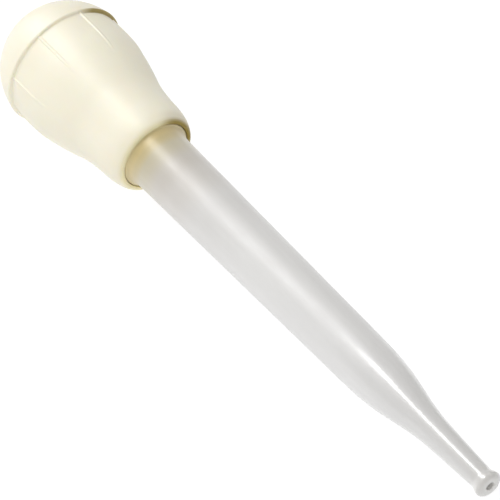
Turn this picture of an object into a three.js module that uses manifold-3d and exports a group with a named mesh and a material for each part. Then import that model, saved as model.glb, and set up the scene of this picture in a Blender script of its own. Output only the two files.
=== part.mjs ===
// Kitchen bulb baster: a soft hollow bulb pushed over the flared end of a tapering plastic tube.
// Millimetres, +Z up. The baster's axis runs along +X with the nozzle tip at the +X end, and the rim of the
// bulb's dome touches z = 0. Lengths along the axis are given as distances back from the nozzle tip.
import * as THREE from "three";
import { mergeVertices } from "three/addons/utils/BufferGeometryUtils.js";
import Module from "manifold-3d";

const wasm = await Module();
wasm.setup();

// Overall
const OVERALL_LENGTH = 280;
const FITTING_GAP = 0.3; // clearance between neighbouring solids

// Bulb, outside
const DOME_RADIUS = 26;
const LEDGE_FROM_TIP = 256.2; // underside of the dome's overhanging rim
const RIM_ROUNDING = 0.7;
const LEDGE_RADIUS = 24.7; // body radius right under the ledge
const COLLAR_RADIUS = 18.5; // outside of the mouth's thick collar
const LIP_FROM_TIP = 209.4; // where the collar starts to round over into the lip
const LIP_FLAT_RADIUS = 15.1; // outer radius of the flat ring at the front of the lip
const MOUTH_FROM_TIP = 197.4; // the flat ring's place

// Bulb, inside
const DOME_WALL = 2.6;
const BODY_WALL = 2.2;
const MOUTH_RADIUS = 14.4;
const MOUTH_CHAMFER = 0.3;
const SEAT_FROM_TIP = 199.9; // step inside the mouth that the tube's flange stops against
const COLLAR_BORE_RADIUS = 13.3;
const COLLAR_BORE_END = 223;

// Moulded ridges under the ledge
const RIDGE_COUNT = 8;
const RIDGE_LENGTH = 24;
const RIDGE_FADE = 23; // distance from the ledge at which a ridge's top sinks into the body
const RIDGE_WIDTH = 1;
const RIDGE_HEIGHT = 0.6;
const RIDGE_ROOT = 0.8; // depth that a ridge is rooted in the wall
const RIDGE_PHASE = THREE.MathUtils.degToRad(28.9); // first ridge, turned from straight up towards -Y

// Thumb wall: the zone of the bulb's side that a squeeze pushes in
const THUMB_WALL_FROM_TIP = 246;
const THUMB_WALL_HALF_LENGTH = 20;
const THUMB_WALL_HALF_HEIGHT = 15;

// Tube
const TUBE_WALL = 1.2;
const BARREL_RADIUS = 12.3; // at the bulb's mouth
const BARREL_END = 190.5; // where the barrel starts to flare
const SHOULDER_RADIUS = 10.68;
const SHOULDER_FROM_TIP = 70;
const NOZZLE_RADIUS = 4.42; // at its thin end, behind the bead
const NOZZLE_START = 5;
const BEAD_RADIUS = 5.35;
const BEAD_FROM_TIP = 1.7;
const TIP_HOLE_RADIUS = 1.7;
const TIP_HOLE_ROUNDING = 0.4;
const TIP_FACE_RADIUS = 3.4; // flat ring round the hole
const FLANGE_RADIUS = 14.1;
const FLANGE_FRONT = 197.7;
const FLANGE_BACK = 199.6;
const PLUG_RADIUS = 12.5;
const PLUG_END = 221;
const PLUG_CHAMFER = 0.8;
const RETAINING_BEAD_HEIGHT = 0.5;
const RETAINING_BEADS = [206, 215];
const RETAINING_BEAD_HALF_LENGTH = 1.6;

// Facets
const BULB_SEGMENTS = 48;
const TUBE_SEGMENTS = 40;

const TIP_X = OVERALL_LENGTH / 2;
const DOME_CENTRE_FROM_TIP = OVERALL_LENGTH - DOME_RADIUS;
const AXIS_HEIGHT = DOME_RADIUS;

const xAt = (fromTip) => TIP_X - fromTip;

// A profile point: x is the radius and y the place along the axis.
const point = (fromTip, radius) => new THREE.Vector2(radius, xAt(fromTip));

// Points of a smooth curve through [distance from the tip, radius] pairs.
function smooth(pairs, steps) {
  const through = pairs.map(([fromTip, radius]) => point(fromTip, radius));
  return new THREE.SplineCurve(through).getPoints(steps);
}

// Points of an elliptical arc. Angle 0 is outwards and a quarter turn is towards the tip.
function arc(fromTip, radius, halfRadial, halfAxial, start, end, steps) {
  const clockwise = end < start;
  const centreX = xAt(fromTip);
  const curve = new THREE.EllipseCurve(radius, centreX, halfRadial, halfAxial, start, end, clockwise);
  return curve.getPoints(steps);
}

const QUARTER = Math.PI / 2;

// A closed solid of revolution about the X axis.
function turned(profile, segments) {
  return new THREE.LatheGeometry(profile, segments).rotateZ(-QUARTER);
}

function solidFrom(geometry) {
  const bare = new THREE.BufferGeometry();
  const flat = geometry.index ? geometry.toNonIndexed() : geometry;
  bare.setAttribute("position", flat.getAttribute("position"));
  const merged = mergeVertices(bare, 1e-4);
  return new wasm.Manifold(
    new wasm.Mesh({
      numProp: 3,
      vertProperties: merged.attributes.position.array,
      triVerts: new Uint32Array(merged.index.array),
    }),
  );
}

function geometryFrom(solid) {
  const mesh = solid.getMesh();
  const geometry = new THREE.BufferGeometry();
  geometry.setAttribute("position", new THREE.BufferAttribute(mesh.vertProperties, 3));
  geometry.setIndex(new THREE.BufferAttribute(mesh.triVerts, 1));
  geometry.computeVertexNormals();
  return geometry;
}

// Outer line of the bulb's body, from the ledge to the lip.
const BODY_LINE = [
  [LEDGE_FROM_TIP, LEDGE_RADIUS],
  [242.2, 24.6],
  [234.2, 23.4],
  [227.2, 21.7],
  [220.2, 19.75],
  [213.2, 18.8],
  [LIP_FROM_TIP, COLLAR_RADIUS],
];

// Line of the air chamber, from the collar's bore to the middle of the dome.
const CHAMBER_LINE = [
  [COLLAR_BORE_END, COLLAR_BORE_RADIUS],
  [226, 16.6],
  [230.5, 19.6],
  [237, 21.6],
  [246, 22.6],
  [DOME_CENTRE_FROM_TIP, LEDGE_RADIUS - BODY_WALL],
];

// Back of the bead, where it runs down to the nozzle.
const NECK_LINE = [
  [3, 5.05],
  [4.2, 4.56],
];

// Outer line of the tube, from the nozzle to the shoulder and up the barrel.
const TUBE_LINE = [
  [NOZZLE_START, NOZZLE_RADIUS],
  [16.5, 4.95],
  [28, 5.54],
  [34, 5.99],
  [40, 6.86],
  [47, 8.18],
  [54, 9.44],
  [61, 10.24],
  [SHOULDER_FROM_TIP, SHOULDER_RADIUS],
  [100, 11.08],
  [145, 11.7],
  [BARREL_END, BARREL_RADIUS],
];

function bulbProfile() {
  const rimInset = DOME_RADIUS - RIM_ROUNDING;
  const lipWidth = COLLAR_RADIUS - LIP_FLAT_RADIUS;
  const lipLength = LIP_FROM_TIP - MOUTH_FROM_TIP;
  const dome = arc(DOME_CENTRE_FROM_TIP, 0, DOME_RADIUS, DOME_RADIUS, -QUARTER, 0, 12);
  const ledge = LEDGE_FROM_TIP + RIM_ROUNDING;
  const rim = arc(ledge, rimInset, RIM_ROUNDING, RIM_ROUNDING, 0, QUARTER, 3);
  const lip = arc(LIP_FROM_TIP, LIP_FLAT_RADIUS, lipWidth, lipLength, 0, QUARTER, 8);
  const chamberRadius = LEDGE_RADIUS - BODY_WALL;
  const crown = arc(DOME_CENTRE_FROM_TIP, 0, chamberRadius, DOME_RADIUS - DOME_WALL, 0, -QUARTER, 9);
  return [
    ...dome.filter((p) => p.y < xAt(ledge)),
    ...rim,
    ...smooth(BODY_LINE, 14),
    ...lip.slice(1),
    point(MOUTH_FROM_TIP, MOUTH_RADIUS + MOUTH_CHAMFER),
    point(MOUTH_FROM_TIP + MOUTH_CHAMFER, MOUTH_RADIUS),
    point(SEAT_FROM_TIP, MOUTH_RADIUS),
    point(SEAT_FROM_TIP, COLLAR_BORE_RADIUS),
    ...smooth(CHAMBER_LINE, 10),
    ...crown.slice(1),
  ];
}

// One ridge, standing straight up on the body and dying away towards the mouth.
function ridge() {
  const knots = BODY_LINE.map(([fromTip, radius]) => new THREE.Vector2(xAt(fromTip), radius));
  const ledgeX = xAt(LEDGE_FROM_TIP);
  const body = new THREE.SplineCurve(knots).getPoints(15).filter((p) => p.x <= ledgeX + RIDGE_LENGTH);
  const height = (x) => RIDGE_HEIGHT * (1 - ((x - ledgeX) / RIDGE_FADE) ** 2);
  const top = body.map((p) => new THREE.Vector2(p.x, p.y + height(p.x)));
  const root = body.map((p) => new THREE.Vector2(p.x, p.y - RIDGE_ROOT)).reverse();
  const ends = [root[root.length - 1], top[0]];
  const intoRim = ends.map((p) => new THREE.Vector2(p.x - RIM_ROUNDING, p.y));
  const outline = new THREE.Shape([...top, ...root, ...intoRim]);
  const geometry = new THREE.ExtrudeGeometry(outline, { depth: RIDGE_WIDTH, bevelEnabled: false });
  return geometry.translate(0, 0, -RIDGE_WIDTH / 2).rotateX(QUARTER);
}

// The prism, pointing out sideways from the axis, that marks off the thumb wall.
function thumbPrism(growth) {
  const outline = new THREE.Shape().absellipse(
    xAt(THUMB_WALL_FROM_TIP),
    0,
    THUMB_WALL_HALF_LENGTH + growth,
    THUMB_WALL_HALF_HEIGHT + growth,
    0,
    2 * Math.PI,
  );
  const options = { depth: 2 * DOME_RADIUS, bevelEnabled: false, curveSegments: 32 };
  return new THREE.ExtrudeGeometry(outline, options).rotateX(QUARTER);
}

function wholeBulb() {
  let bulb = solidFrom(turned(bulbProfile(), BULB_SEGMENTS));
  for (let i = 0; i < RIDGE_COUNT; i++) {
    const turn = RIDGE_PHASE + (i * 2 * Math.PI) / RIDGE_COUNT;
    bulb = bulb.add(solidFrom(ridge().rotateX(turn)));
  }
  return bulb;
}

function tubeProfile() {
  const flareWidth = FLANGE_RADIUS - BARREL_RADIUS;
  const flareLength = FLANGE_FRONT - BARREL_END;
  const flare = arc(BARREL_END, FLANGE_RADIUS, flareWidth, flareLength, Math.PI, Math.PI + QUARTER, 5);
  const retainingBeads = RETAINING_BEADS.flatMap((middle) => [
    point(middle - RETAINING_BEAD_HALF_LENGTH, PLUG_RADIUS),
    point(middle, PLUG_RADIUS + RETAINING_BEAD_HEIGHT),
    point(middle + RETAINING_BEAD_HALF_LENGTH, PLUG_RADIUS),
  ]);
  const noseWidth = BEAD_RADIUS - TIP_FACE_RADIUS;
  const nose = arc(BEAD_FROM_TIP, TIP_FACE_RADIUS, noseWidth, BEAD_FROM_TIP, QUARTER, 0, 5);
  const outside = [
    ...nose,
    ...NECK_LINE.map(([fromTip, radius]) => point(fromTip, radius)),
    ...smooth(TUBE_LINE, 22),
    ...flare.slice(1),
    point(FLANGE_BACK, FLANGE_RADIUS),
    point(FLANGE_BACK, PLUG_RADIUS),
    ...retainingBeads,
    point(PLUG_END - PLUG_CHAMFER, PLUG_RADIUS),
    point(PLUG_END, PLUG_RADIUS - PLUG_CHAMFER),
  ];
  const boreLine = TUBE_LINE.map(([fromTip, radius]) => [fromTip, radius - TUBE_WALL]);
  const inside = [
    point(PLUG_END, BARREL_RADIUS - TUBE_WALL),
    ...smooth(boreLine, 22).reverse(),
    point(BEAD_FROM_TIP, TIP_HOLE_RADIUS),
    point(TIP_HOLE_ROUNDING, TIP_HOLE_RADIUS),
    point(0, TIP_HOLE_RADIUS + TIP_HOLE_ROUNDING),
  ];
  return [...outside, ...inside, nose[0]].reverse();
}

const BULB_FINISH = { color: 0xf8f0dc, roughness: 0.45, metalness: 0 };
const TUBE_FINISH = { color: 0xdedddb, roughness: 0.4, metalness: 0, transparent: true, opacity: 0.7 };

function piece(name, geometry, finish) {
  const mesh = new THREE.Mesh(geometry, new THREE.MeshStandardMaterial(finish));
  mesh.name = name;
  return mesh;
}

const bulb = wholeBulb();
const shell = bulb.subtract(solidFrom(thumbPrism(FITTING_GAP)));
const thumbWall = bulb.intersect(solidFrom(thumbPrism(0)));

const baster = new THREE.Group();
baster.position.z = AXIS_HEIGHT;
baster.add(
  piece("bulb_shell", geometryFrom(shell), BULB_FINISH),
  piece("bulb_thumb_wall", geometryFrom(thumbWall), BULB_FINISH),
  piece("baster_tube", turned(tubeProfile(), TUBE_SEGMENTS), TUBE_FINISH),
);

const part = new THREE.Group();
part.add(baster);

export default part;
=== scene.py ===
import math

import bpy
import numpy as np
from mathutils import Matrix, Vector


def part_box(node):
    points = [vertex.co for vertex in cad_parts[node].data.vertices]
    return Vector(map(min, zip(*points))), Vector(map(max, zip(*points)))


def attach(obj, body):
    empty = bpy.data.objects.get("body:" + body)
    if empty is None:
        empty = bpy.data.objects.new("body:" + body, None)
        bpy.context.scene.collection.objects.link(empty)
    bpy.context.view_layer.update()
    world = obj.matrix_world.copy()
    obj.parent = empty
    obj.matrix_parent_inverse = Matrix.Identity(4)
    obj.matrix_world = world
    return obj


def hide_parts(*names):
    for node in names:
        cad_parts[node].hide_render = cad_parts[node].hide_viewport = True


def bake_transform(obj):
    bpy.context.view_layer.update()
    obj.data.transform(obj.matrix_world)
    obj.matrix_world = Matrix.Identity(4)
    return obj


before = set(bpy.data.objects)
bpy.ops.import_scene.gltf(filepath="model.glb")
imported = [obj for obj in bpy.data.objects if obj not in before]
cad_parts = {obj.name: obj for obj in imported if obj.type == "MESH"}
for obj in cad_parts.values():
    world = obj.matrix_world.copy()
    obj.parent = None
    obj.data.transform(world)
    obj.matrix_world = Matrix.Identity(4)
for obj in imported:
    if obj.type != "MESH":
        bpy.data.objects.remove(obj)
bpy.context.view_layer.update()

# A kitchen bulb baster lying on a pale floor. Metres, in the shared frame: the axis of the baster
# runs along +X, with the nozzle tip at the +X end. Places along it are distances back from the tip.

MM = 0.001
ON_AXIS = 1e-7  # a smaller radius is a point on the axis
SAME_POINT = 1e-6  # profile points closer than this are one point

# Measures of the CAD part
TUBE_LOW, TUBE_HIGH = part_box("baster_tube")
SHELL_LOW, SHELL_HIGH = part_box("bulb_shell")
THUMB_LOW, THUMB_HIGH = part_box("bulb_thumb_wall")
TIP_X = TUBE_HIGH.x
AXIS_Z = (SHELL_LOW.z + SHELL_HIGH.z) / 2
DOME_RADIUS = (SHELL_HIGH.z - SHELL_LOW.z) / 2
DOME_TOP = TIP_X - SHELL_LOW.x
MOUTH = TIP_X - SHELL_HIGH.x
PLUG_END = TIP_X - TUBE_LOW.x
FLANGE_RADIUS = (TUBE_HIGH.z - TUBE_LOW.z) / 2
THUMB_X = (THUMB_LOW.x + THUMB_HIGH.x) / 2

# Bulb
DOME_CENTRE = DOME_TOP - DOME_RADIUS
LEDGE = 256.2 * MM
RIM_ROUNDING = 0.7 * MM
LEDGE_RADIUS = 24.7 * MM
COLLAR_RADIUS = 18.5 * MM
LIP_START = 209.4 * MM
LIP_FLAT_RADIUS = 15.1 * MM
MOUTH_RADIUS = 14.4 * MM
SEAT = 199.9 * MM
COLLAR_BORE = 13.3 * MM
COLLAR_BORE_END = 223 * MM
CHAMBER_RADIUS = LEDGE_RADIUS - 2.2 * MM
CROWN_DEPTH = DOME_RADIUS - 2.6 * MM
DENT_END = 218 * MM  # the collar from here on stays round in a squeeze

# Ridges under the ledge
RIDGES = 8
RIDGE_PHASE = math.radians(28.9)  # first ridge, turned from straight up towards -Y
RIDGE_LENGTH = 24 * MM
RIDGE_HEIGHT = 0.42 * MM
RIDGE_HALF_WIDTH = 0.65 * MM
RIDGE_CREST, RIDGE_FOOT = 0.3, 1.15  # where the flat top ends and the foot lies, in half widths
RIDGE_PITCH = 2 * math.pi / RIDGES
RIDGE_COLUMNS = (0.25, 0.5, 0.7, 0.9, 1.15, 1.5)  # columns of points on each side, in half widths
BETWEEN_COLUMNS = 20  # columns of points between two ridges

# Tube
TUBE_WALL = 1.2 * MM
BARREL_END = 190.5 * MM
BARREL_RADIUS = 12.3 * MM
FLANGE_FRONT = 197.7 * MM
FLANGE_BACK = 199.6 * MM
PLUG_RADIUS = 12.5 * MM
NOZZLE_START = 5 * MM
NOZZLE_RADIUS = 4.42 * MM
SHOULDER = 70 * MM
BEAD_RADIUS = 5.35 * MM
BEAD_PLACE = 1.7 * MM
TIP_FACE_RADIUS = 3.4 * MM
TIP_HOLE = 1.7 * MM
THROAT = BEAD_PLACE + 1 * MM  # where the bore has narrowed to the tip's hole
PLUG_BORE_START = 205 * MM
RETAINING_BEADS = (206 * MM, 215 * MM)
TUBE_COLUMNS = 160


def new_object(name, data):
    obj = bpy.data.objects.new(name, data)
    bpy.context.collection.objects.link(obj)
    return obj


def frame_point(from_tip, radius, turn):
    """The point at a distance from the tip and a radius, turned from straight up towards -Y."""
    return (TIP_X - from_tip, -radius * math.sin(turn), AXIS_Z + radius * math.cos(turn))


def through(pairs, steps):
    """Equally spaced points of a smooth (Catmull-Rom) curve through (distance, radius) pairs."""
    p = np.array(pairs, float)
    p = np.vstack([2 * p[0] - p[1], p, 2 * p[-1] - p[-2]])
    points_per_span = 24
    fine = []
    for a, b, c, d in zip(p, p[1:], p[2:], p[3:]):
        square = 2 * a - 5 * b + 4 * c - d
        cube = 3 * b - a - 3 * c + d
        for t in np.linspace(0, 1, points_per_span, endpoint=False):
            fine.append(0.5 * (2 * b + (c - a) * t + square * t**2 + cube * t**3))
    fine.append(p[-2])
    return even(np.array(fine), steps)


def even(points, steps):
    """The same line with its points equally spaced."""
    pieces = np.linalg.norm(np.diff(points, axis=0), axis=1)
    lengths = np.concatenate([[0], np.cumsum(pieces)])
    at = np.linspace(0, lengths[-1], steps + 1)
    from_tip = np.interp(at, lengths, points[:, 0])
    radius = np.interp(at, lengths, points[:, 1])
    return list(zip(from_tip.tolist(), radius.tolist()))


def arc(from_tip, radius, half_radial, half_axial, start, end, steps):
    """Points of an elliptical arc about a centre, between two angles in degrees. Angle 0 is
    outwards, and 90 is towards the tip."""
    points = []
    for angle in np.radians(np.linspace(start, end, steps + 1)):
        axial, radial = half_axial * math.sin(angle), half_radial * math.cos(angle)
        points.append((from_tip - axial, radius + radial))
    return points


def line(start, end, steps):
    """Equally spaced points from one (distance, radius) pair to another."""
    return even(np.array([start, end]), steps)


def join(*runs):
    """One profile from runs whose ends meet."""
    points = []
    for run in runs:
        for p in run:
            if not points or math.dist(p, points[-1]) > SAME_POINT:
                points.append(p)
    return points


def revolve(name, profile, turns, closed=False, lift=None, lifted=0):
    """A mesh turned about the axis. lift(from_tip, turn) moves the first `lifted` rows of points
    outwards. A profile that doesn't close on itself starts and ends on the axis."""
    verts, faces, rows = [], [], []
    for i, (from_tip, radius) in enumerate(profile):
        if radius < ON_AXIS:
            rows.append([len(verts)])
            verts.append(frame_point(from_tip, 0, 0))
            continue
        rows.append(range(len(verts), len(verts) + len(turns)))
        for turn in turns:
            raised = radius + (lift(from_tip, turn) if i < lifted else 0)
            verts.append(frame_point(from_tip, raised, turn))
    n = len(turns)
    pairs = list(zip(rows, rows[1:]))
    if closed:
        pairs.append((rows[-1], rows[0]))
    for a, b in pairs:
        for j in range(n):
            k = (j + 1) % n
            if len(a) == 1:
                faces.append((a[0], b[j], b[k]))
            elif len(b) == 1:
                faces.append((a[j], b[0], a[k]))
            else:
                faces.append((a[j], b[j], b[k], a[k]))
    mesh = bpy.data.meshes.new(name)
    mesh.from_pydata(verts, [], faces)
    mesh.shade_smooth()
    return new_object(name, mesh)


# ---------------------------------------------------------------- bulb

BODY_LINE = [
    (LEDGE, LEDGE_RADIUS),
    (242.2 * MM, 24.6 * MM),
    (234.2 * MM, 23.4 * MM),
    (227.2 * MM, 21.7 * MM),
    (220.2 * MM, 19.75 * MM),
    (213.2 * MM, 18.8 * MM),
    (LIP_START, COLLAR_RADIUS),
]

CHAMBER_LINE = [
    (COLLAR_BORE_END, COLLAR_BORE),
    (226 * MM, 16.6 * MM),
    (230.5 * MM, 19.6 * MM),
    (237 * MM, 21.6 * MM),
    (246 * MM, 22.6 * MM),
    (DOME_CENTRE, CHAMBER_RADIUS),
]


def bulb_outside():
    """The bulb's outer line, from the top of the dome over the ledge to the front of the lip."""
    rim_place = LEDGE + RIM_ROUNDING
    rim_turn = math.degrees(math.asin((rim_place - DOME_CENTRE) / DOME_RADIUS))
    left_for_rim = 2  # degrees
    dome = arc(DOME_CENTRE, 0, DOME_RADIUS, DOME_RADIUS, -90, -rim_turn - left_for_rim, 48)
    dome[0] = (DOME_TOP, 0)
    rim = arc(rim_place, DOME_RADIUS - RIM_ROUNDING, RIM_ROUNDING, RIM_ROUNDING, 0, 84, 6)
    under = line(rim[-1], (LEDGE - 0.1 * MM, LEDGE_RADIUS + 0.3 * MM), 3)
    fillet = [(LEDGE - 0.2 * MM, LEDGE_RADIUS + 0.1 * MM), (LEDGE - 0.5 * MM, LEDGE_RADIUS)]
    body_start = LEDGE - 0.8 * MM
    body = [p for p in through(BODY_LINE, 90) if p[0] < body_start]
    lip_width = COLLAR_RADIUS - LIP_FLAT_RADIUS
    lip = arc(LIP_START, LIP_FLAT_RADIUS, lip_width, LIP_START - MOUTH, 0, 90, 24)
    return join(dome, rim, under, fillet, body, lip)


def bulb_inside():
    """The bulb's inner line, from the lip over the seat and the collar's bore to the crown."""
    rounding = 0.3 * MM
    edge = arc(MOUTH + rounding, MOUTH_RADIUS + rounding, -rounding, rounding, 90, 0, 4)
    bore = line(edge[-1], (SEAT, MOUTH_RADIUS), 3)
    step = line(bore[-1], (SEAT, COLLAR_BORE), 2)
    collar = line(step[-1], (COLLAR_BORE_END, COLLAR_BORE), 10)
    crown = arc(DOME_CENTRE, 0, CHAMBER_RADIUS, CROWN_DEPTH, 0, -90, 20)
    crown[-1] = (DOME_CENTRE + CROWN_DEPTH, 0)
    return join(edge, bore, step, collar, through(CHAMBER_LINE, 24), crown)


def ridge_turns():
    """Turns of the columns of points: close together across each ridge, and wider between."""
    half = np.array(RIDGE_COLUMNS)
    across = np.concatenate([-half[::-1], [0], half]) * RIDGE_HALF_WIDTH / LEDGE_RADIUS
    between = np.linspace(across[-1], RIDGE_PITCH + across[0], BETWEEN_COLUMNS + 2)[1:-1]
    one = np.concatenate([across, between])
    return [float(RIDGE_PHASE + i * RIDGE_PITCH + t) for i in range(RIDGES) for t in one]


def ridge_lift(from_tip, turn):
    """How proud the ridges stand: a rounded bar that starts under the ledge and dies away."""
    s = (LEDGE - from_tip) / RIDGE_LENGTH
    off = (turn - RIDGE_PHASE + RIDGE_PITCH / 2) % RIDGE_PITCH - RIDGE_PITCH / 2
    x = abs(off) * LEDGE_RADIUS / RIDGE_HALF_WIDTH
    if s < 0 or s > 1 or x > RIDGE_FOOT:
        return 0
    flank = max(0, x - RIDGE_CREST) / (RIDGE_FOOT - RIDGE_CREST)
    across = 0.5 + 0.5 * math.cos(math.pi * flank)
    fade = (1 - s**2.2) * min(1, (1 - s) * 6)
    return RIDGE_HEIGHT * across * fade


def thumb_weights(obj):
    """Works out how far each point would go with the thumb wall: all the way under the thumb, and
    not at all at the top of the dome, on the far side and at the collar. The weights are not kept
    on the mesh."""
    middle = TIP_X - THUMB_X
    weights = np.zeros(len(obj.data.vertices), np.float32)
    for v in obj.data.vertices:
        x, y, z = v.co
        from_tip = TIP_X - x
        radius = math.hypot(y, z - AXIS_Z)
        side = max(0.0, -y / max(radius, ON_AXIS))
        reach = (DOME_TOP - middle) if from_tip > middle else (middle - DENT_END)
        t = min(1.0, abs(from_tip - middle) / reach)
        weights[v.index] = (1 - t * t) ** 2 * side**1.2


# ---------------------------------------------------------------- tube

NECK_LINE = [(3 * MM, 5.05 * MM), (4.2 * MM, 4.56 * MM)]

TUBE_LINE = [
    (NOZZLE_START, NOZZLE_RADIUS),
    (16.5 * MM, 4.95 * MM),
    (28 * MM, 5.54 * MM),
    (34 * MM, 5.99 * MM),
    (40 * MM, 6.86 * MM),
    (47 * MM, 8.18 * MM),
    (54 * MM, 9.44 * MM),
    (61 * MM, 10.24 * MM),
    (SHOULDER, 10.68 * MM),
    (100 * MM, 11.08 * MM),
    (145 * MM, 11.7 * MM),
    (BARREL_END, BARREL_RADIUS),
]


def retaining_bead(middle):
    """A low rounded ring on the plug that grips the collar's bore."""
    half, height = 1.6 * MM, 0.5 * MM
    return [(middle + half * s, PLUG_RADIUS + height * (1 - s * s)) for s in np.linspace(-1, 1, 9)]


def tube_profile():
    """The tube's closed outline: nose, neck, barrel, flare, flange and plug, then back along the
    bore to the hole and the face of the tip."""
    chamfer = 0.8 * MM
    corner = 0.3 * MM
    nose = arc(BEAD_PLACE, TIP_FACE_RADIUS, BEAD_RADIUS - TIP_FACE_RADIUS, BEAD_PLACE, 90, 0, 12)
    neck = through([nose[-1], *NECK_LINE, TUBE_LINE[0]], 8)
    barrel = through(TUBE_LINE, 160)
    edge = FLANGE_RADIUS - corner
    flare_width = FLANGE_RADIUS - BARREL_RADIUS - corner
    flare = arc(BARREL_END, edge, flare_width, FLANGE_FRONT - BARREL_END, 180, 270, 14)
    flange = arc(FLANGE_FRONT + corner, edge, corner, corner, 90, 0, 4)
    flange_back = [
        (FLANGE_BACK - corner, FLANGE_RADIUS),
        (FLANGE_BACK, edge),
        (FLANGE_BACK, PLUG_RADIUS + corner),
        (FLANGE_BACK + corner, PLUG_RADIUS),
    ]
    beads = [p for middle in RETAINING_BEADS for p in retaining_bead(middle)]
    plug_end = [(PLUG_END - chamfer, PLUG_RADIUS), (PLUG_END, PLUG_RADIUS - chamfer)]
    outside = join(nose, neck, barrel, flare, flange, flange_back, beads, plug_end)
    bore_radius = BARREL_RADIUS - TUBE_WALL
    plug_bore = [
        (PLUG_END, bore_radius + corner),
        (PLUG_END - corner, bore_radius),
        (PLUG_BORE_START, bore_radius),
    ]
    barrel_bore = [(s, r - TUBE_WALL) for s, r in reversed(barrel)]
    throat = [(THROAT, TIP_HOLE)]
    rounding = 0.4 * MM
    hole = arc(rounding, TIP_HOLE + rounding, -rounding, rounding, 0, 90, 5)
    face = line(hole[-1], (0, TIP_FACE_RADIUS), 3)
    return join(outside, plug_bore, barrel_bore, throat, hole, face)[:-1]


# ---------------------------------------------------------------- materials

MIX_FACTOR, MIX_FIRST, MIX_SECOND, MIX_RESULT = 0, 6, 7, 2  # a mix node's sockets for colours


class Nodes:
    """A material's node tree, with short calls to add and link nodes."""

    def __init__(self, name):
        self.material = bpy.data.materials.new(name)
        self.material.use_nodes = True
        self.tree = self.material.node_tree
        self.shader = self.tree.nodes["Principled BSDF"]

    def add(self, kind, inputs=(), **values):
        """A new node, with sockets linked or set from `inputs` and properties from the rest."""
        node = self.tree.nodes.new(kind)
        for key, value in values.items():
            setattr(node, key, value)
        for key, value in dict(inputs).items():
            if isinstance(value, bpy.types.NodeSocket):
                self.tree.links.new(value, node.inputs[key])
            else:
                node.inputs[key].default_value = value
        return node

    def link(self, source, socket):
        """Link an output to one of the shader's sockets."""
        self.tree.links.new(source, self.shader.inputs[socket])

    def set(self, values):
        """Set constants on the shader's sockets."""
        for socket, value in values.items():
            self.shader.inputs[socket].default_value = value

    def ramp(self, source, stops, interpolation="LINEAR"):
        """A value or colour from (source value, value or colour) stops."""
        node = self.add("ShaderNodeValToRGB", {"Fac": source})
        ramp = node.color_ramp
        ramp.interpolation = interpolation
        while len(ramp.elements) < len(stops):
            ramp.elements.new(0.5)
        for element, (at, value) in zip(ramp.elements, stops):
            element.position = at
            element.color = (*value, 1) if isinstance(value, tuple) else (value, value, value, 1)
        return node.outputs["Color"]

    def ramp_along(self, stops):
        """A value or colour that changes smoothly along the axis, from stops with distances from
        the tip, the farthest first."""
        start, end = stops[0][0], stops[-1][0]
        place = self.add("ShaderNodeTexCoord")
        split = self.add("ShaderNodeSeparateXYZ", {"Vector": place.outputs["Object"]})
        x = split.outputs["X"]
        inputs = {"Value": x, "From Min": TIP_X - start, "From Max": TIP_X - end}
        share = self.add("ShaderNodeMapRange", inputs).outputs["Result"]
        shares = [((start - at) / (start - end), value) for at, value in stops]
        return self.ramp(share, shares, "EASE")

    def ramp_round(self, direction, stops):
        """A value that changes smoothly round the axis, from stops with cosines of the angle to a
        direction."""
        place = self.add("ShaderNodeTexCoord")
        from_axis = self.vector("SUBTRACT", place.outputs["Object"], (0, 0, AXIS_Z))
        radial = self.vector("MULTIPLY", from_axis.outputs["Vector"], (0, 1, 1))
        unit = self.vector("NORMALIZE", radial.outputs["Vector"])
        cosine = self.vector("DOT_PRODUCT", unit.outputs["Vector"], direction)
        inputs = {"Value": cosine.outputs["Value"], "From Min": -1, "From Max": 1}
        share = self.add("ShaderNodeMapRange", inputs).outputs["Result"]
        return self.ramp(share, [((at + 1) / 2, value) for at, value in stops], "EASE")

    def vector(self, operation, *inputs):
        return self.add("ShaderNodeVectorMath", enumerate(inputs), operation=operation)

    def mix(self, factor, first, second, blend="MIX"):
        """Two colours mixed by a factor."""
        first, second = [(*c, 1) if isinstance(c, tuple) else c for c in (first, second)]
        inputs = {MIX_FACTOR: factor, MIX_FIRST: first, MIX_SECOND: second}
        node = self.add("ShaderNodeMix", inputs, data_type="RGBA", blend_type=blend)
        return node.outputs[MIX_RESULT]

    def times(self, first, second):
        """Two values multiplied."""
        node = self.add("ShaderNodeMath", {0: first, 1: second}, operation="MULTIPLY")
        return node.outputs["Value"]

    def noise(self, scale, detail=3, stretch=(1, 1, 1)):
        """Noise with a scale per metre, stretched along an axis where `stretch` is under 1."""
        place = self.add("ShaderNodeTexCoord")
        inputs = {"Vector": place.outputs["Object"], "Scale": stretch}
        mapping = self.add("ShaderNodeMapping", inputs)
        inputs = {"Vector": mapping.outputs["Vector"], "Scale": scale, "Detail": detail}
        return self.add("ShaderNodeTexNoise", inputs).outputs["Fac"]

    def bump(self, heights):
        """Stacked bumps from (height, distance, strength) rows."""
        normal = None
        for height, distance, strength in heights:
            inputs = {"Height": height, "Distance": distance, "Strength": strength}
            if normal:
                inputs["Normal"] = normal
            normal = self.add("ShaderNodeBump", inputs).outputs["Normal"]
        self.link(normal, "Normal")


CREAM_LIGHT = (0.935, 0.89, 0.75)
CREAM_DARK = (0.92, 0.87, 0.715)
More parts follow.
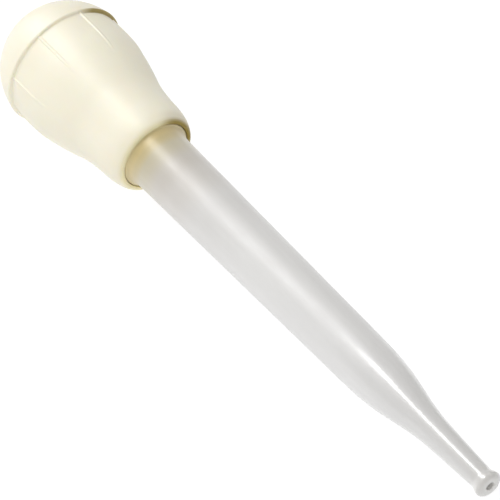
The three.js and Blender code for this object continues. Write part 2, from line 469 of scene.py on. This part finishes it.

# Painted shade: the rubber is coloured tan to olive where shade falls in its recesses, on the lip
# round the tube and in the crease under the ledge.
SHADE_TAN = (0.86, 0.79, 0.52)
SHADE_OLIVE = (0.32, 0.23, 0.01)
# The painted shade is deepest on one side of the axis, the side that gets the least light.
SHADED_SIDE = (0, 0.86, 0.51)  # from the axis, the side on which the recesses are darkest
SIDE_SHADE = [(0.5, 0), (0.93, 1)]
LIP_SHADE = [
    (203 * MM, 0),
    (199.3 * MM, 0.15),
    (198.5 * MM, 0.35),
    (197.9 * MM, 0.75),
    (MOUTH, 1),
]
CREASE_SHADE = [(256.9 * MM, 0), (256.4 * MM, 1), (255.8 * MM, 1), (255.2 * MM, 0)]
SIDE_OF_CREASE_SHADE = [(0.4, 0), (0.95, 0.9)]


def rubber_material():
    m = Nodes("cream_rubber")
    cream = m.ramp(m.noise(60, 4), [(0.3, CREAM_DARK), (0.7, CREAM_LIGHT)])
    # Painted shade: tan on the lip and in the ledge's crease, going olive on the shaded side.
    side = m.ramp_round(SHADED_SIDE, SIDE_SHADE)
    recess_shade = m.mix(side, SHADE_TAN, SHADE_OLIVE)
    crease_shade = m.times(m.ramp_along(CREASE_SHADE), m.ramp(side, SIDE_OF_CREASE_SHADE))
    cream_and_crease_shade = m.mix(crease_shade, cream, recess_shade)
    m.link(m.mix(m.ramp_along(LIP_SHADE), cream_and_crease_shade, recess_shade), "Base Color")
    m.link(m.ramp(m.noise(260, 3), [(0.3, 0.46), (0.7, 0.54)]), "Roughness")
    m.set({"IOR": 1.5, "Subsurface Weight": 0.45})
    m.set({"Subsurface Radius": (1, 0.85, 0.55), "Subsurface Scale": 1.7 * MM})
    m.bump([(m.noise(2600, 2), 0.04 * MM, 0.35), (m.noise(320, 3), 0.2 * MM, 0.2)])
    return m.material


# The tube's colour, from painted tan shade and light bounced off the rubber at the flare to clean
# frost and the clearer nozzle, lighter again at the tip as painted light in the hole.
TUBE_COLOURS_AND_SHADE = [
    (203 * MM, (0.85, 0.82, 0.74)),
    (198.3 * MM, (0.90, 0.76, 0.38)),
    (196 * MM, (0.83, 0.67, 0.31)),
    (194 * MM, (0.70, 0.58, 0.29)),
    (190 * MM, (0.65, 0.59, 0.42)),
    (181 * MM, (0.69, 0.65, 0.59)),
    (172 * MM, (0.75, 0.72, 0.68)),
    (157 * MM, (0.80, 0.79, 0.775)),
    (130 * MM, (0.85, 0.845, 0.835)),
    (85 * MM, (0.85, 0.845, 0.84)),
    (62 * MM, (0.84, 0.835, 0.83)),
    (10 * MM, (0.80, 0.795, 0.785)),
    (0, (0.88, 0.865, 0.84)),
]
TUBE_ROUGHNESS = [
    (200 * MM, 0.38),
    (186 * MM, 0.42),
    (168 * MM, 0.51),
    (90 * MM, 0.52),
    (62 * MM, 0.37),
]
NOZZLE_POLISH = [(78 * MM, 0), (68 * MM, 0.25), (57 * MM, 0.85)]
TUBE_CLEARNESS = [(60 * MM, 0.2), (10 * MM, 0.22), (4 * MM, 0.32)]


def tube_material():
    m = Nodes("frosted_plastic")
    streaks = m.noise(420, 3, (0.06, 1, 1))
    clouds = m.mix(m.ramp(streaks, [(0.3, 0), (0.7, 1)]), (0.96, 0.96, 0.96), (1, 1, 1))
    # The tan at the flare is painted shade and light bounced off the rubber; the lighter tip is
    # painted light in the hole.
    m.link(m.mix(1, m.ramp_along(TUBE_COLOURS_AND_SHADE), clouds, "MULTIPLY"), "Base Color")
    uneven = m.ramp(m.noise(170, 3, (0.5, 1, 1)), [(0.3, 0.82), (0.7, 1.1)])
    m.link(m.times(m.ramp_along(TUBE_ROUGHNESS), uneven), "Roughness")
    m.set({"IOR": 1.52, "Sheen Weight": 0.6, "Sheen Roughness": 0.65})
    m.link(m.ramp_along(NOZZLE_POLISH), "Coat Weight")
    m.set({"Coat Roughness": 0.06, "Coat IOR": 1.45})
    m.link(m.ramp_along(TUBE_CLEARNESS), "Transmission Weight")
    m.bump([(m.noise(3200, 2), 0.03 * MM, 0.3), (streaks, 0.1 * MM, 0.15)])
    return m.material


def floor_material():
    m = Nodes("pale_floor")
    m.link(m.ramp(m.noise(9, 2), [(0.3, 0.14), (0.7, 0.16)]), "Base Color")
    m.set({"Roughness": 0.9, "Emission Color": (1, 1, 1, 1), "Emission Strength": 0.91})
    return m.material


# ---------------------------------------------------------------- pieces

bulb_rows = bulb_outside()
bulb_profile = join(bulb_rows, bulb_inside())
bulb = revolve("bulb", bulb_profile, ridge_turns(), lift=ridge_lift, lifted=len(bulb_rows))
bulb.data.materials.append(rubber_material())
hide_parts("bulb_shell", "bulb_thumb_wall")
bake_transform(bulb)
thumb_weights(bulb)

tube_turns = [2 * math.pi * i / TUBE_COLUMNS for i in range(TUBE_COLUMNS)]
tube = revolve("tube", tube_profile(), tube_turns, closed=True)
tube.data.materials.append(tube_material())
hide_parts("baster_tube")
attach(tube, "tube")

# ---------------------------------------------------------------- floor, camera and lights

FLOOR_HALF = 12.0

# The camera looks from the nozzle's side, with the axis of the baster running down to the right.
CAMERA_TILT = math.radians(32.4)  # from square-on to the axis, towards the tip
CAMERA_TURN = math.radians(30.5)  # about the axis, from straight up towards -Y
CAMERA_DISTANCE = 1.6
SENSOR_MM = 36
LENS_MM = 315.8
AIM = 139 * MM  # the middle of the picture, along the axis
AIM_SIDE = 0.4 * MM  # and its distance from the axis
ROLL_RIGHT, ROLL_DOWN = 0.710, 0.704  # how far the axis runs to the right and down in the picture

ALONG = Vector((1, 0, 0))


def turned(side, up, back):
    """The turn that brings an object's X, Y and Z axes onto three directions."""
    return Matrix((side, up, back)).transposed().to_4x4()


def make_floor():
    """A wide flat floor that the bulb's rim and the nozzle's bead both rest on."""
    tilt = math.asin((DOME_RADIUS - BEAD_RADIUS) / (DOME_CENTRE - BEAD_PLACE))
    normal = Vector((-math.sin(tilt), 0, math.cos(tilt)))
    corners = [(-1, -1), (1, -1), (1, 1), (-1, 1)]
    mesh = bpy.data.meshes.new("floor")
    mesh.from_pydata([(x * FLOOR_HALF, y * FLOOR_HALF, 0) for x, y in corners], [], [(0, 1, 2, 3)])
    floor = new_object("floor", mesh)
    mesh.materials.append(floor_material())
    floor.rotation_euler = (0, -tilt, 0)
    floor.location = Vector((TIP_X - DOME_CENTRE, 0, AXIS_Z)) - DOME_RADIUS * normal


def make_camera():
    facing = Vector((0, -math.sin(CAMERA_TURN), math.cos(CAMERA_TURN)))
    sideways = Vector((0, math.cos(CAMERA_TURN), math.sin(CAMERA_TURN)))
    back = math.sin(CAMERA_TILT) * ALONG + math.cos(CAMERA_TILT) * facing
    down_axis = math.cos(CAMERA_TILT) * ALONG - math.sin(CAMERA_TILT) * facing
    right = ROLL_RIGHT * down_axis + ROLL_DOWN * sideways
    up = -ROLL_DOWN * down_axis + ROLL_RIGHT * sideways
    aim = Vector((TIP_X - AIM, 0, AXIS_Z)) - AIM_SIDE * sideways
    data = bpy.data.cameras.new("camera")
    data.sensor_width = SENSOR_MM
    data.lens = LENS_MM
    camera = new_object("camera", data)
    camera.matrix_world = Matrix.Translation(aim + CAMERA_DISTANCE * back) @ turned(right, up, back)
    bpy.context.scene.camera = camera


def softbox(name, direction, distance, width, height, power, shine):
    """An area light aimed at the middle of the baster, with its height along the axis. It gives
    either only its shine or only its other light."""
    data = bpy.data.lights.new(name, "AREA")
    data.shape = "RECTANGLE"
    data.size, data.size_y = width, height
    data.energy = power
    lamp = new_object(name, data)
    lamp.visible_diffuse = not shine
    lamp.visible_transmission = not shine
    lamp.visible_glossy = shine
    out = Vector(direction).normalized()
    side = out.cross(ALONG).normalized()
    place = Vector((0, 0, AXIS_Z)) + distance * out
    lamp.matrix_world = Matrix.Translation(place) @ turned(side, side.cross(out).normalized(), out)


def make_world():
    world = bpy.data.worlds.new("studio")
    bpy.context.scene.world = world
    world.use_nodes = True
    background = world.node_tree.nodes["Background"]
    background.inputs["Color"].default_value = (1, 0.985, 0.95, 1)
    background.inputs["Strength"].default_value = 0.37


make_floor()
make_camera()
softbox(
    "key",
    direction=(-0.3, -0.334, 0.894),
    distance=1.3,
    width=0.85,
    height=2.4,
    power=16.5,
    shine=False,
)
softbox(
    "strip",
    direction=(-0.58, -0.195, 0.79),
    distance=1.1,
    width=0.36,
    height=2.2,
    power=22.5,
    shine=True,
)
make_world()
bpy.context.scene.view_settings.view_transform = "Standard"
